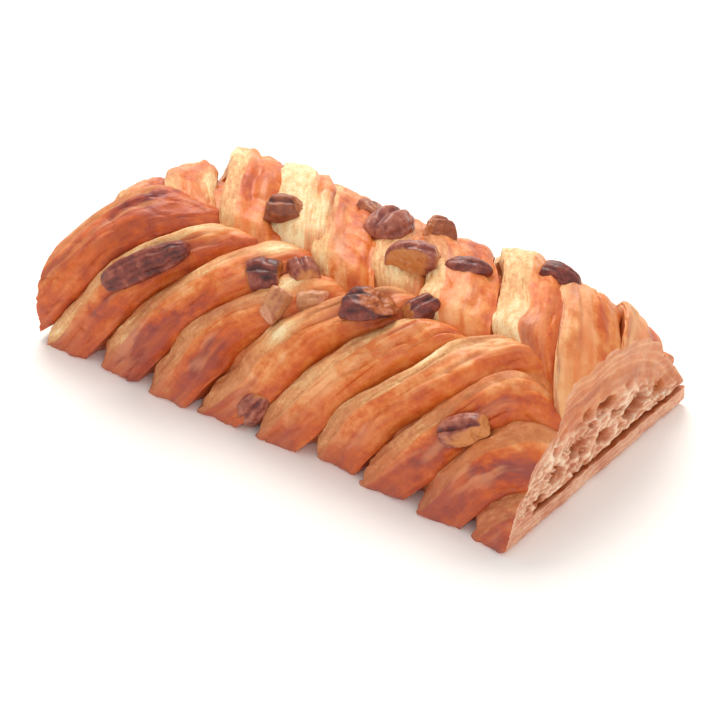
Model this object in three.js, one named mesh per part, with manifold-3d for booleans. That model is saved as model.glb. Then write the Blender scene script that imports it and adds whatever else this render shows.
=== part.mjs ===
// Pecan plait: one length of laminated dough with strips folded over it from both sides,
// glazed and topped with one whole pecan half and broken pecans. Millimetres, +Z up.
// The length runs along X, the origin is on the floor under the middle, and -Y is the near side.

import * as THREE from 'three';
import { mergeVertices } from 'three/addons/utils/BufferGeometryUtils.js';
import Module from 'manifold-3d';

const wasm = await Module();
wasm.setup();

// Driving dimensions of the loaf
const LENGTH = 134;
const WIDTH = 67.6;
const HEIGHT = 36;
const DOME_POWER = 2.4;
const PITCH = 15;
const CORE_INSET = 4.2;
const STRIP_ROOT = 7.5;
const SHEET_THICKNESS = 5.4;
const GAP = 0.3;

// Ends: height of the dome at each cut, as a share of its full height, and how far in it recovers
const LEFT_END = { share: 0.72, run: 20 };
const RIGHT_END = { share: 0.68, run: 15 };

// A strip leans towards +X as it climbs: shift = lean * s + curl * s^2, s in mm up from the floor
const NEAR_STRIPS = { side: -1, lean: 0.55, curl: 0.0035, toe: 2.5 };
const FAR_STRIPS = { side: 1, lean: 0.615, curl: 0, toe: 1 };

const CRUST = new THREE.MeshStandardMaterial({ color: '#d27a3e', roughness: 0.42, metalness: 0 });
const PECAN_SKIN = new THREE.MeshStandardMaterial({ color: '#6b3a2e', roughness: 0.5, metalness: 0 });
const PECAN_FLESH = new THREE.MeshStandardMaterial({ color: '#b5703f', roughness: 0.5, metalness: 0 });

// Superellipse dome, walked by arc length from the near floor edge over the top

const DOME_STEPS = 720;
const DOME_TABLE = domeTable();
const DOME_ARC = DOME_TABLE[DOME_STEPS].s;

function signedPower(value, power) {
  return Math.sign(value) * Math.abs(value) ** power;
}

function domeTable() {
  const rows = [];
  let s = 0;
  for (let i = 0; i <= DOME_STEPS; i += 1) {
    const angle = (Math.PI * i) / DOME_STEPS;
    const y = (-WIDTH / 2) * signedPower(Math.cos(angle), 2 / DOME_POWER);
    const z = HEIGHT * Math.sin(angle) ** (2 / DOME_POWER);
    if (i > 0) s += Math.hypot(y - rows[i - 1].y, z - rows[i - 1].z);
    rows.push({ s, y, z });
  }
  return rows;
}

// Point of the dome at arc length s, moved out along its normal by lift
function domePoint(s, lift) {
  const clamped = Math.min(Math.max(s, 0), DOME_ARC);
  let i = 1;
  while (i < DOME_STEPS && DOME_TABLE[i].s < clamped) i += 1;
  const a = DOME_TABLE[i - 1];
  const b = DOME_TABLE[i];
  const t = (clamped - a.s) / (b.s - a.s);
  const y = a.y + t * (b.y - a.y);
  const z = Math.max(a.z + t * (b.z - a.z), 0);
  const normal = domeNormal(y, z);
  return { y: y + lift * normal.y, z: Math.max(z + lift * normal.z, 0), normal };
}

function domeNormal(y, z) {
  const gy = signedPower((2 * y) / WIDTH, DOME_POWER - 1) / WIDTH;
  const gz = (z / HEIGHT) ** (DOME_POWER - 1) / (2 * HEIGHT);
  const size = Math.hypot(gy, gz);
  return { y: gy / size, z: gz / size };
}

// Share of the full height that the loaf has at x: it sinks towards both cuts
function endTaper(x) {
  const left = Math.min(Math.max((x + LENGTH / 2) / LEFT_END.run, 0), 1);
  const right = Math.min(Math.max((LENGTH / 2 - x) / RIGHT_END.run, 0), 1);
  const leftShare = LEFT_END.share + (1 - LEFT_END.share) * Math.sin((left * Math.PI) / 2);
  const rightShare = RIGHT_END.share + (1 - RIGHT_END.share) * Math.sin((right * Math.PI) / 2);
  return leftShare * rightShare;
}

// Closed bodies made of rings: rings[i][j] is point j of ring i, and both ends are capped

function ringBody(rings) {
  const count = rings[0].length;
  const positions = rings.flat().flatMap((p) => [p.x, p.y, p.z]);
  const faces = [];
  for (let i = 0; i + 1 < rings.length; i += 1) {
    for (let j = 0; j < count; j += 1) {
      const a = i * count + j;
      const b = i * count + ((j + 1) % count);
      faces.push(a, b, a + count, b, b + count, a + count);
    }
  }
  addCap(positions, faces, rings[0], 0, true);
  addCap(positions, faces, rings[rings.length - 1], (rings.length - 1) * count, false);
  const geometry = new THREE.BufferGeometry();
  geometry.setAttribute('position', new THREE.Float32BufferAttribute(positions, 3));
  geometry.setIndex(faces);
  return outwards(geometry);
}

function addCap(positions, faces, ring, first, reversed) {
  const middle = new THREE.Vector3();
  ring.forEach((p) => middle.add(new THREE.Vector3(p.x, p.y, p.z)));
  middle.divideScalar(ring.length);
  const hub = positions.length / 3;
  positions.push(middle.x, middle.y, middle.z);
  for (let j = 0; j < ring.length; j += 1) {
    const a = first + j;
    const b = first + ((j + 1) % ring.length);
    if (reversed) faces.push(hub, b, a);
    else faces.push(hub, a, b);
  }
}

// Six times the signed volume of a closed indexed mesh
function signedVolume(geometry) {
  const p = geometry.attributes.position;
  const index = geometry.index;
  const corners = [new THREE.Vector3(), new THREE.Vector3(), new THREE.Vector3()];
  let total = 0;
  for (let i = 0; i < index.count; i += 3) {
    corners.forEach((corner, k) => corner.fromBufferAttribute(p, index.getX(i + k)));
    total += corners[0].dot(corners[1].clone().cross(corners[2]));
  }
  return total;
}

function outwards(geometry) {
  if (signedVolume(geometry) > 0) return geometry;
  const index = geometry.index;
  for (let i = 0; i < index.count; i += 3) {
    const second = index.getX(i + 1);
    index.setX(i + 1, index.getX(i + 2));
    index.setX(i + 2, second);
  }
  return geometry;
}

// Between three.js geometries and manifold solids

function toSolid(geometry) {
  const bare = geometry.clone();
  bare.deleteAttribute('normal');
  bare.deleteAttribute('uv');
  const merged = mergeVertices(bare, 1e-4);
  return new wasm.Manifold(new wasm.Mesh({
    numProp: 3,
    vertProperties: new Float32Array(merged.attributes.position.array),
    triVerts: new Uint32Array(merged.index.array),
  }));
}

function toGeometry(solid) {
  const mesh = solid.getMesh();
  const geometry = new THREE.BufferGeometry();
  geometry.setAttribute('position', new THREE.Float32BufferAttribute(mesh.vertProperties, 3));
  geometry.setIndex(new THREE.Uint32BufferAttribute(mesh.triVerts, 1));
  geometry.computeVertexNormals();
  return geometry;
}

function box(size, centre) {
  const geometry = new THREE.BoxGeometry(size.x, size.y, size.z);
  geometry.translate(centre.x, centre.y, centre.z);
  return toSolid(geometry);
}

// The dough underneath the strips: the dome itself, drawn in by CORE_INSET

const CORE_RINGS = 10;
const CORE_SIDES = 14;

function coreBody() {
  const rings = [];
  for (let i = 0; i <= CORE_RINGS; i += 1) {
    const x = LENGTH * (i / CORE_RINGS - 0.5);
    const ring = [];
    for (let j = 0; j <= CORE_SIDES; j += 1) {
      const point = domePoint((DOME_ARC * j) / CORE_SIDES, -CORE_INSET);
      ring.push({ x, y: point.y, z: point.z * endTaper(x) });
    }
    rings.push(ring);
  }
  return toSolid(ringBody(rings));
}

// One strip. Its section stands highest behind its cut -X edge, which lies over the strip before,
// and rounds down on the +X side, where the next strip covers it. across is a share of the pitch
// and height is mm from the dome.

const SECTION = [
  { across: 0.1, height: -STRIP_ROOT },
  { across: 0, height: -2.4 },
  { across: 0.1, height: -0.5 },
  { across: 0.32, height: 0 },
  { across: 0.62, height: -0.8 },
  { across: 0.88, height: -2.8 },
  { across: 1.12, height: -STRIP_ROOT },
];
const STRIP_STEP = 6.4;
const END_ROUNDING = 7;
const FOOT_REACH = 22;
const TOE_REACH = 14;

function stripBody(family, { left, end, width = 1, puff, foot, dive }) {
  const count = Math.ceil(end / STRIP_STEP);
  const rings = [];
  for (let i = 0; i <= count; i += 1) {
    const s = (end * i) / count;
    const toe = family.toe * Math.max(1 - s / TOE_REACH, 0) ** 2;
    const edge = left + family.lean * s + family.curl * s * s - toe;
    const rounding = Math.max((s - end + END_ROUNDING) / END_ROUNDING, 0);
    const spread = foot * Math.max(1 - s / FOOT_REACH, 0) ** 2;
    const swell = puff * Math.sin((Math.PI * s) / end) + spread;
    const sink = dive * rounding * rounding;
    rings.push(SECTION.map(({ across, height }) => {
      const x = edge + across * width * PITCH;
      const lift = height <= -STRIP_ROOT ? height : height + swell - sink;
      const point = domePoint(s, lift);
      return { x, y: -family.side * point.y, z: point.z * endTaper(x) };
    }));
  }
  return toSolid(ringBody(rings));
}

// left is where the strip's raised edge meets the floor and end is its length over the dome. puff
// is how far its middle rises, foot how far its lower end spreads and dive how far its top sinks.

const NEAR = [
  { left: -88.5, end: 54, width: 1.47, puff: 2.6, foot: 0, dive: 5 },
  { left: -66.5, end: 50, puff: 0.2, foot: 1.8, dive: 5 },
  { left: -51.5, end: 52, puff: 0.6, foot: 0.2, dive: 5 },
  { left: -36.5, end: 47, puff: 0.2, foot: 1.4, dive: 5 },
  { left: -21.0, end: 53, puff: 0.8, foot: 1.2, dive: 5 },
  { left: -6.0, end: 47, puff: 0.4, foot: 0.6, dive: 5 },
  { left: 9.0, end: 52, puff: 0.8, foot: -1.6, dive: 5 },
  { left: 24.0, end: 45, puff: 0.2, foot: 0.6, dive: 5 },
  { left: 39.0, end: 42, puff: 0.4, foot: 1.2, dive: 5 },
  { left: 54.0, end: 34, puff: 0.4, foot: 1.6, dive: 5 },
];

const FAR = [
  { left: -105.6, end: 68, puff: -5.4, foot: 0, dive: 6 },
  { left: -89.4, end: 68, puff: -4.6, foot: 0, dive: 6 },
  { left: -72.4, end: 70, width: 1.15, puff: 0.9, foot: 0.4, dive: 6 },
  { left: -57.4, end: 66, width: 1.1, puff: 2.2, foot: 1.0, dive: 6 },
  { left: -46.0, end: 71, width: 1.15, puff: 0.6, foot: 0, dive: 6 },
  { left: -30.0, end: 66, puff: 0.2, foot: 1.8, dive: 6 },
  { left: -17.0, end: 70, width: 1.3, puff: 0.8, foot: 0.6, dive: 6 },
  { left: 3.5, end: 68, width: 1.1, puff: 3.2, foot: -1.0, dive: 6 },
  { left: 19.5, end: 74, width: 1.15, puff: 1.4, foot: 1, dive: 6 },
  { left: 36.3, end: 66, width: 1.1, puff: 1.4, foot: 0.2, dive: 6 },
  { left: 52.3, end: 60, puff: 0.6, foot: 0.8, dive: 6 },
];

// Each cut end shows the bottom sheet, a slit above it and the open layers of the crumb

const SLIT = { height: 1.2, depth: 5 };
const RIGHT_SLIT = { from: -26, to: 40 };
const LEFT_SLIT = { from: -20, to: 29 };
const POCKET_DETAIL = { around: 6, down: 4 };
const RIGHT_POCKETS = [
  { y: -17, z: 11, wide: 5, high: 3.2, deep: 3.5 },
  { y: -8, z: 13.5, wide: 5, high: 4, deep: 4 },
  { y: 1, z: 11, wide: 5, high: 3, deep: 3.5 },
  { y: 4, z: 18, wide: 6, high: 2.4, deep: 3 },
  { y: 14, z: 11.5, wide: 9, high: 4.4, deep: 6 },
  { y: 25, z: 10, wide: 4, high: 2.2, deep: 3.5 },
];
const LEFT_POCKETS = [
  { y: -14, z: 11, wide: 7, high: 3.6, deep: 4 },
  { y: -3, z: 12, wide: 5, high: 4, deep: 4.5 },
  { y: 8, z: 11, wide: 7, high: 3.4, deep: 4 },
  { y: 19, z: 11.5, wide: 5, high: 3, deep: 3.5 },
  { y: 2, z: 18, wide: 6, high: 2, deep: 2.5 },
];

function endCutters(end, pockets, { from, to }) {
  const face = (end * LENGTH) / 2;
  const cutters = [box(
    { x: 2 * SLIT.depth, y: to - from, z: SLIT.height },
    { x: face, y: (from + to) / 2, z: SHEET_THICKNESS + SLIT.height / 2 },
  )];
  for (const { y, z, wide, high, deep } of pockets) {
    const geometry = new THREE.SphereGeometry(0.5, POCKET_DETAIL.around, POCKET_DETAIL.down);
    geometry.scale(2 * deep, wide, high);
    geometry.translate(face, y, z);
    cutters.push(toSolid(geometry));
  }
  return cutters;
}

// The outer skin of a solid: air trapped between the strips is filled with dough
function withoutTrappedAir(solid) {
  return solid.decompose().sort((a, b) => b.volume() - a.volume())[0];
}

function pastryBody() {
  let body = coreBody();
  for (const strip of NEAR) body = body.add(stripBody(NEAR_STRIPS, strip));
  for (const strip of FAR) body = body.add(stripBody(FAR_STRIPS, strip));
  body = withoutTrappedAir(body).intersect(box(
    { x: LENGTH, y: 2 * WIDTH, z: 2 * HEIGHT },
    { x: 0, y: 0, z: HEIGHT },
  ));
  for (const cutter of [
    ...endCutters(1, RIGHT_POCKETS, RIGHT_SLIT),
    ...endCutters(-1, LEFT_POCKETS, LEFT_SLIT),
  ]) {
    body = body.subtract(cutter);
  }
  return body;
}

// A pecan half lies on its flat side, long axis on X: ribs run along a domed back that has a
// groove down its middle. A broken piece is the same kernel, stockier and cut by planes.

const KERNEL_RINGS = 8;
const KERNEL_SIDES = 10;

function kernelGeometry({ long, wide, high, ribs = 0.07, groove = 0.22 }) {
  const rings = [];
  for (let i = 1; i < KERNEL_RINGS; i += 1) {
    const turn = (Math.PI * i) / KERNEL_RINGS;
    const reach = Math.sin(turn) ** 0.8;
    const ring = [];
    for (let j = 0; j < KERNEL_SIDES; j += 1) {
      const angle = (2 * Math.PI * j) / KERNEL_SIDES;
      const back = Math.max(Math.sin(angle), 0);
      const rib = 1 + ribs * back * Math.cos(7 * angle);
      const dip = 1 - groove * back ** 8;
      const flat = Math.sin(angle) < 0 ? 0.45 : 1;
      ring.push({
        x: (-long / 2) * Math.cos(turn),
        y: (wide / 2) * reach * rib * Math.cos(angle),
        z: (high * 0.62) * reach * rib * dip * flat * Math.sin(angle),
      });
    }
    rings.push(ring);
  }
  return ringBody(rings);
}

// Each break is a flat face of fractured nut: its normal, and its distance from the kernel's centre
function brokenKernel(shape, grow) {
  const { long, wide, high, breaks = [] } = shape;
  const geometry = kernelGeometry(shape);
  geometry.scale(1 + (2 * grow) / long, 1 + (2 * grow) / wide, 1 + (2 * grow) / high);
  let solid = toSolid(geometry);
  for (const { normal, keep } of breaks) {
    const cutter = new THREE.BoxGeometry(2 * long, 2 * long, 2 * long);
    cutter.translate(0, 0, long + keep + grow);
    const turn = new THREE.Quaternion().setFromUnitVectors(
      new THREE.Vector3(0, 0, 1),
      new THREE.Vector3(...normal).normalize(),
    );
    cutter.applyQuaternion(turn);
    solid = solid.subtract(toSolid(cutter));
  }
  return solid;
}

// Where each piece lies: x along the loaf, s up and over the dome from the near floor edge, turn
// about the dome's normal (0 is along +X, 90 climbs towards +s), roll about its own long axis,
// and bed, how deep it sits in the crust.

const PECANS = [
  {
    name: 'pecan_half', material: PECAN_SKIN, x: -40, s: 28.5, turn: 42, roll: -16, bed: 1.4,
    long: 22.5, wide: 7.6, high: 7.4,
  },
  {
    name: 'pecan_piece_01', material: PECAN_FLESH, x: -19.8, s: 56, turn: 26, roll: 14, bed: 1.4,
    long: 13, wide: 7, high: 6.2,
    breaks: [{ normal: [1, 0.3, 0.5], keep: 3.6 }, { normal: [-1, 0.3, 0.1], keep: 4 }],
  },
  {
    name: 'pecan_piece_02', material: PECAN_SKIN, x: -12.2, s: 38, turn: 18, roll: 8, bed: 1.2,
    long: 13, wide: 8, high: 7.4,
    breaks: [{ normal: [1, 0.2, 0.1], keep: 3.8 }, { normal: [-1, -0.4, 0.3], keep: 4.6 }],
  },
  {
    name: 'pecan_piece_03', material: PECAN_SKIN, x: -4.6, s: 42.6, turn: -34, roll: -10, bed: 0.8,
    long: 12, wide: 6.4, high: 6,
    breaks: [{ normal: [-1, 0.3, 0.4], keep: 3 }, { normal: [1, 0, 0.6], keep: 3.8 }],
  },
  {
    name: 'pecan_piece_04', material: PECAN_FLESH, x: -5.2, s: 33, turn: 84, roll: 6, bed: 1,
    long: 13, wide: 5.8, high: 5.4,
    breaks: [{ normal: [1, 0, 0.2], keep: 3.2 }, { normal: [-1, 0.2, 0.5], keep: 4 }],
  },
  {
    name: 'pecan_piece_05', material: PECAN_FLESH, x: 1.0, s: 36.6, turn: 30, roll: 20, bed: 1,
    long: 11, wide: 5.6, high: 4.8,
    breaks: [{ normal: [-1, 0, 0.3], keep: 2.8 }, { normal: [1, -0.4, 0.2], keep: 3.2 }],
  },
  {
    name: 'pecan_piece_06', material: PECAN_SKIN, x: 15.4, s: 39.4, turn: 26, roll: -34, bed: 1.2,
    long: 15, wide: 9.6, high: 7.4,
    breaks: [
      { normal: [1, 0.3, 0.3], keep: 5.4 },
      { normal: [-1, 0.1, 0.3], keep: 6 },
      { normal: [-0.6, 0.6, 0.5], keep: 3.4 },
    ],
  },
  {
    name: 'pecan_piece_07', material: PECAN_SKIN, x: 25, s: 46, turn: 70, roll: 10, bed: 1,
    long: 13, wide: 7.2, high: 6.4,
    breaks: [{ normal: [1, 0.2, 0.1], keep: 3.8 }, { normal: [-1, 0, 0.3], keep: 3.6 }],
  },
  {
    name: 'pecan_piece_08', material: PECAN_SKIN, x: 1.6, s: 67, turn: 96, roll: 0, bed: 2,
    long: 14, wide: 10.4, high: 7.4,
    breaks: [{ normal: [1, 0.1, 0.5], keep: 5.4 }],
  },
  {
    name: 'pecan_piece_09', material: PECAN_SKIN, x: 15.2, s: 57.6, turn: 28, roll: 18, bed: 0.8,
    long: 14, wide: 8.6, high: 8.8,
    breaks: [{ normal: [-0.16, -0.84, 0.43], keep: 1.8 }, { normal: [1, 0, 0.1], keep: 5 }],
  },
  {
    name: 'pecan_piece_10', material: PECAN_SKIN, x: 26.4, s: 62.5, turn: 28, roll: 16, bed: 0.8,
    long: 11, wide: 5.8, high: 4.6,
  },
  {
    name: 'pecan_piece_11', material: PECAN_FLESH, x: 10.4, s: 74.5, turn: 50, roll: 0, bed: 2,
    long: 10, wide: 6.4, high: 6.4,
    breaks: [{ normal: [1, 0.2, 0.3], keep: 3 }, { normal: [-1, 0, 0.2], keep: 3.2 }],
  },
  {
    name: 'pecan_piece_12', material: PECAN_FLESH, x: -6.9, s: 72, turn: -20, roll: -8, bed: 0.9,
    long: 10, wide: 5.2, high: 4.8,
    breaks: [{ normal: [1, 0, 0.4], keep: 3.2 }, { normal: [-1, 0.3, 0.1], keep: 3.2 }],
  },
  {
    name: 'pecan_piece_13', material: PECAN_SKIN, x: 42.6, s: 73.4, turn: 14, roll: 10, bed: 0.2,
    long: 11, wide: 6.6, high: 5.4,
    breaks: [{ normal: [-1, 0, 0.3], keep: 4 }],
  },
  {
    name: 'pecan_piece_14', material: PECAN_SKIN, x: -5, s: 6.6, turn: 58, roll: 10, bed: 1.6,
    long: 13, wide: 7.2, high: 5.4,
    breaks: [{ normal: [-1, 0.2, 0.2], keep: 4.6 }, { normal: [1, 0.4, 0.2], keep: 5 }],
  },
  {
    name: 'pecan_piece_15', material: PECAN_FLESH, x: 50, s: 23.6, turn: 30, roll: -12, bed: 1.2,
    long: 14, wide: 7.6, high: 6,
    breaks: [{ normal: [1, 0.2, 0.2], keep: 5.2 }],
  },
  {
    name: 'pecan_piece_16', material: PECAN_SKIN, x: -37, s: 99, turn: -48, roll: 8, bed: 1,
    long: 13, wide: 7, high: 5.8,
    breaks: [{ normal: [1, 0.2, 0.3], keep: 4 }],
  },
  {
    name: 'pecan_piece_17', material: PECAN_FLESH, x: -8, s: 103, turn: -60, roll: 0, bed: 1,
    long: 11, wide: 6.4, high: 5.4,
    breaks: [{ normal: [-1, 0.1, 0.4], keep: 3.4 }, { normal: [1, 0, 0.2], keep: 4 }],
  },
  {
    name: 'pecan_piece_18', material: PECAN_SKIN, x: 24, s: 97, turn: -30, roll: -10, bed: 1.1,
    long: 12, wide: 7.4, high: 6,
    breaks: [{ normal: [1, 0.5, 0.2], keep: 3.6 }],
  },
];

// Turns local axes into the frame of the dome at s: X along the loaf, Y climbing, Z outwards
function domeFrame(x, s, surface) {
  const { y, z, normal } = domePoint(s, 0);
  const out = new THREE.Vector3(0, normal.y, normal.z);
  const along = new THREE.Vector3(1, 0, 0);
  const climb = out.clone().cross(along);
  const start = new THREE.Vector3(x, y, z * endTaper(x)).addScaledVector(out, HEIGHT);
  const ray = new THREE.Raycaster(start, out.clone().negate());
  const hit = ray.intersectObject(surface)[0].point;
  return { hit, out, basis: new THREE.Matrix4().makeBasis(along, climb, out) };
}

const FLAT_SHARE = 0.28;

function pecanPlacement({ x, s, turn, roll, bed, high }, surface) {
  const frame = domeFrame(x, s, surface);
  const spin = new THREE.Quaternion().setFromAxisAngle(
    new THREE.Vector3(0, 0, 1),
    THREE.MathUtils.degToRad(turn),
  );
  const lean = new THREE.Quaternion().setFromAxisAngle(
    new THREE.Vector3(1, 0, 0),
    THREE.MathUtils.degToRad(roll),
  );
  const quaternion = new THREE.Quaternion().setFromRotationMatrix(frame.basis);
  quaternion.multiply(spin).multiply(lean);
  const position = frame.hit.clone().addScaledVector(frame.out, FLAT_SHARE * high - bed);
  return { position, quaternion };
}

function placedSolid(shape, placement, grow) {
  const geometry = toGeometry(brokenKernel(shape, grow));
  geometry.applyQuaternion(placement.quaternion);
  geometry.translate(...placement.position.toArray());
  return toSolid(geometry);
}

// The pastry gets a shallow seat under each piece of nut, GAP wider all round than the piece

const danish = new THREE.Group();
const bare = new THREE.Mesh(toGeometry(pastryBody()), CRUST);
bare.updateMatrixWorld(true);
let pastry = toSolid(bare.geometry);

for (const shape of PECANS) {
  const placement = pecanPlacement(shape, bare);
  pastry = pastry.subtract(placedSolid(shape, placement, GAP));
  const piece = new THREE.Mesh(toGeometry(brokenKernel(shape, 0)), shape.material);
  piece.name = shape.name;
  piece.position.copy(placement.position);
  piece.quaternion.copy(placement.quaternion);
  danish.add(piece);
}

const loaf = new THREE.Mesh(toGeometry(pastry), CRUST);
loaf.name = 'pastry';
danish.add(loaf);

export default danish;
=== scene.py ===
import bpy
import numpy as np
from mathutils import Matrix, Vector


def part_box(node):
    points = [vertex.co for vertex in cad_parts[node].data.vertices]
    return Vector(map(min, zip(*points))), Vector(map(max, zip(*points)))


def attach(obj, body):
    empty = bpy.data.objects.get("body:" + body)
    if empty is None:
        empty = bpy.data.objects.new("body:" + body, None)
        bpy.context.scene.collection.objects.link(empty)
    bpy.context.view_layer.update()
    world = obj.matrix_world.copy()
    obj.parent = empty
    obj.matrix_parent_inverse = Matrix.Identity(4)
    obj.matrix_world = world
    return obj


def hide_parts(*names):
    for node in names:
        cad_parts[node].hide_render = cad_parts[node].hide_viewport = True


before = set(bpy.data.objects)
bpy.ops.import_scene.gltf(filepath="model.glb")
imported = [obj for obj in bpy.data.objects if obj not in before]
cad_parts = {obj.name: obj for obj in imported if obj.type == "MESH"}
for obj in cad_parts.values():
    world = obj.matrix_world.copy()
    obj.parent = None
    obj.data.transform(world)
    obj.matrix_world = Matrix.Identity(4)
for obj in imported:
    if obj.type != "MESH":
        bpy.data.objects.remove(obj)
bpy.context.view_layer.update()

# ---------------------------------------------------------------------------------------------
# The loaf: one sheet of laminated butter dough, cut into strips along both sides. The strips are
# folded over the middle in turn, egg-washed, baked and glazed, and the loaf is cut off straight
# at both ends, where the open layers show.

MM = 0.001
PASTRY_LOW, PASTRY_HIGH = [np.array(corner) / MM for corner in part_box("pastry")]
HALF_LENGTH = (PASTRY_HIGH[0] - PASTRY_LOW[0]) / 2
WIDTH = 67.6
HEIGHT = 36.0
DOME_POWER = 2.4
PITCH = 15.0
CORE_INSET = 4.6
STRIP_ROOT = 7.5
SHEET_THICKNESS = 5.4
FLOOR_DEPTH = 2.0


def signed_power(value, power):
    """The value's size to a power, with its sign kept."""
    return np.sign(value) * np.abs(value) ** power


def dome_table():
    """The superellipse |y/a|^n + |z/b|^n = 1, walked from the near floor edge over the top to the
    far floor edge: arc length, y and z."""
    angle = np.linspace(0, np.pi, 1441)
    y = -WIDTH / 2 * signed_power(np.cos(angle), 2 / DOME_POWER)
    z = HEIGHT * np.abs(np.sin(angle)) ** (2 / DOME_POWER)
    s = np.r_[0, np.cumsum(np.hypot(np.diff(y), np.diff(z)))]
    return s, y, z


DOME_S, DOME_Y, DOME_Z = dome_table()
DOME_ARC = DOME_S[-1]


def dome_normal(y, z):
    """Unit gradient of |y/a|^n + |z/b|^n: the way out of the dome at (y, z)."""
    gy = signed_power(2 * y / WIDTH, DOME_POWER - 1) / WIDTH
    gz = (np.maximum(z, 0) / HEIGHT) ** (DOME_POWER - 1) / (2 * HEIGHT)
    size = np.hypot(gy, gz)
    return gy / size, gz / size


def dome_point(s, lift):
    """The dome at arc length s, moved out along its normal by lift. Below the floor line the
    flank goes straight down, so that the floor can trim it flat."""
    y = np.interp(s, DOME_S, DOME_Y)
    z = np.interp(s, DOME_S, DOME_Z)
    out_y, out_z = dome_normal(y, z)
    below = np.minimum(s, 0) + np.minimum(DOME_ARC - s, 0)
    return y + lift * out_y, z + lift * out_z + below


LEFT_SHARE, LEFT_RUN = 0.72, 20.0
RIGHT_SHARE, RIGHT_RUN = 0.68, 15.0


def end_taper(x):
    """Share of full height at x: a quarter sine from each end's share up to 1 over its run."""
    left = np.clip((x + HALF_LENGTH) / LEFT_RUN, 0, 1)
    right = np.clip((HALF_LENGTH - x) / RIGHT_RUN, 0, 1)
    left_share = LEFT_SHARE + (1 - LEFT_SHARE) * np.sin(left * np.pi / 2)
    right_share = RIGHT_SHARE + (1 - RIGHT_SHARE) * np.sin(right * np.pi / 2)
    return left_share * right_share


def dice(lattice, seed):
    """A repeatable random number from 0 to 1 for each whole-number lattice point."""
    mixed = lattice @ np.array([73856093, 19349663, 83492791]) + seed * 2654435761
    mixed = (mixed ^ (mixed >> 15)) * 2246822519 & 0xFFFFFFFF
    mixed = (mixed ^ (mixed >> 13)) * 3266489917 & 0xFFFFFFFF
    return ((mixed ^ (mixed >> 16)) & 0xFFFF) / 0xFFFF


def grain(points, sizes, seed):
    """Value noise from -1 to 1: a random number at each corner of a lattice with cells of the
    given sizes, blended with 3t^2 - 2t^3 between the corners."""
    scaled = np.stack(np.broadcast_arrays(*points), -1) / np.array(sizes) + 0.371 * seed
    cell = np.floor(scaled).astype(np.int64)
    part = scaled - cell
    part = part * part * (3 - 2 * part)
    total = 0.0
    for corner in np.ndindex(2, 2, 2):
        share = np.prod(np.where(np.array(corner) == 1, part, 1 - part), -1)
        total = total + share * dice(cell + np.array(corner), seed)
    return 2 * total - 1


def rough(points, size, seed, octaves=3, stretch=(1, 1, 1)):
    """Sum of grain at halving cell sizes and halving strengths, from about -1 to 1."""
    total = 0.0
    for octave in range(octaves):
        cell = [size * s / 2 ** octave for s in stretch]
        total = total + grain(points, cell, seed + 11 * octave) / 2 ** octave
    return total / 1.5


# What each point tells the material, from 0 to 1: edge is cut dough without egg wash, cream is how
# pale that dough is, bake is how hard the crust baked, deep is painted bounce light and shade, a
# saturated orange in the crease under a strip where the crust also browned less, and painted shade
# inside an opening, and crumb is the torn inside. A kernel's bake is its creases, its cream how pale
# it roasted, and its crumb the broken flesh.

MARKS = ("edge", "cream", "bake", "deep", "crumb")


def closed_mesh(name, rings, marks, pattern):
    """A closed body from a grid of points [ring, place on ring, xyz] in mm: quads between
    neighbouring rings, and a fan to the middle of the first and of the last ring. marks and
    pattern give each point's material marks and its pattern coordinates in mm."""
    count, around = rings.shape[:2]
    points = rings.reshape(-1, 3)
    hubs = np.stack([rings[0].mean(0), rings[-1].mean(0)])
    index = np.arange(count * around).reshape(count, around)
    nxt = np.roll(index, -1, 1)
    quads = np.stack([index[:-1], nxt[:-1], nxt[1:], index[1:]], -1).reshape(-1, 4)
    first = np.stack([np.full(around, count * around), nxt[0], index[0]], -1)
    last = np.stack([np.full(around, count * around + 1), index[-1], nxt[-1]], -1)
    points = np.concatenate([points, hubs])
    middle = points.mean(0)
    corners = points[quads]
    normals = np.cross(corners[:, 2] - corners[:, 0], corners[:, 3] - corners[:, 1])
    inside_out = ((corners.mean(1) - middle) * normals).sum() < 0
    faces = quads.tolist() + first.tolist() + last.tolist()
    if inside_out:
        faces = [face[::-1] for face in faces]
    mesh = bpy.data.meshes.new(name)
    mesh.from_pydata((points * MM).tolist(), [], faces)
    corner_vertex = np.empty(len(mesh.loops), np.int32)
    mesh.loops.foreach_get("vertex_index", corner_vertex)
    for mark in MARKS:
        value = np.broadcast_to(marks.get(mark, 0.0), (count, around)).ravel()
        value = np.r_[value, value[:around].mean(), value[-around:].mean()]
        layer = mesh.attributes.new(mark, "FLOAT", "CORNER")
        layer.data.foreach_set("value", value[corner_vertex].astype(np.float32))
    uv = np.stack([np.broadcast_to(p, (count, around)).ravel() for p in pattern], -1)
    uv = np.concatenate([uv, uv[:1], uv[-1:]])
    layer = mesh.uv_layers.new(name="dough_mm")
    layer.data.foreach_set("uv", uv[corner_vertex].ravel().astype(np.float32))
    piece = bpy.data.objects.new(name, mesh)
    bpy.context.scene.collection.objects.link(piece)
    return piece


def joined(body, others, operation):
    """body joined with, or cut by, a list of closed bodies, which are used up."""
    group = bpy.data.collections.new(body.name + "_" + operation.lower())
    for other in others:
        group.objects.link(other)
    step = body.modifiers.new("step", "BOOLEAN")
    step.operation = operation
    step.solver = "MANIFOLD"
    step.operand_type = "COLLECTION"
    step.collection = group
    shown = bpy.context.evaluated_depsgraph_get()
    mesh = bpy.data.meshes.new_from_object(body.evaluated_get(shown))
    body.modifiers.clear()
    body.data = mesh
    for other in others:
        bpy.data.objects.remove(other)
    bpy.data.collections.remove(group)
    return body


# Section of a strip: up the cut edge, over the crest and down the round face. across is a share
# of the pitch, and the first EDGE_SHARE of it is the cut edge.

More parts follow.
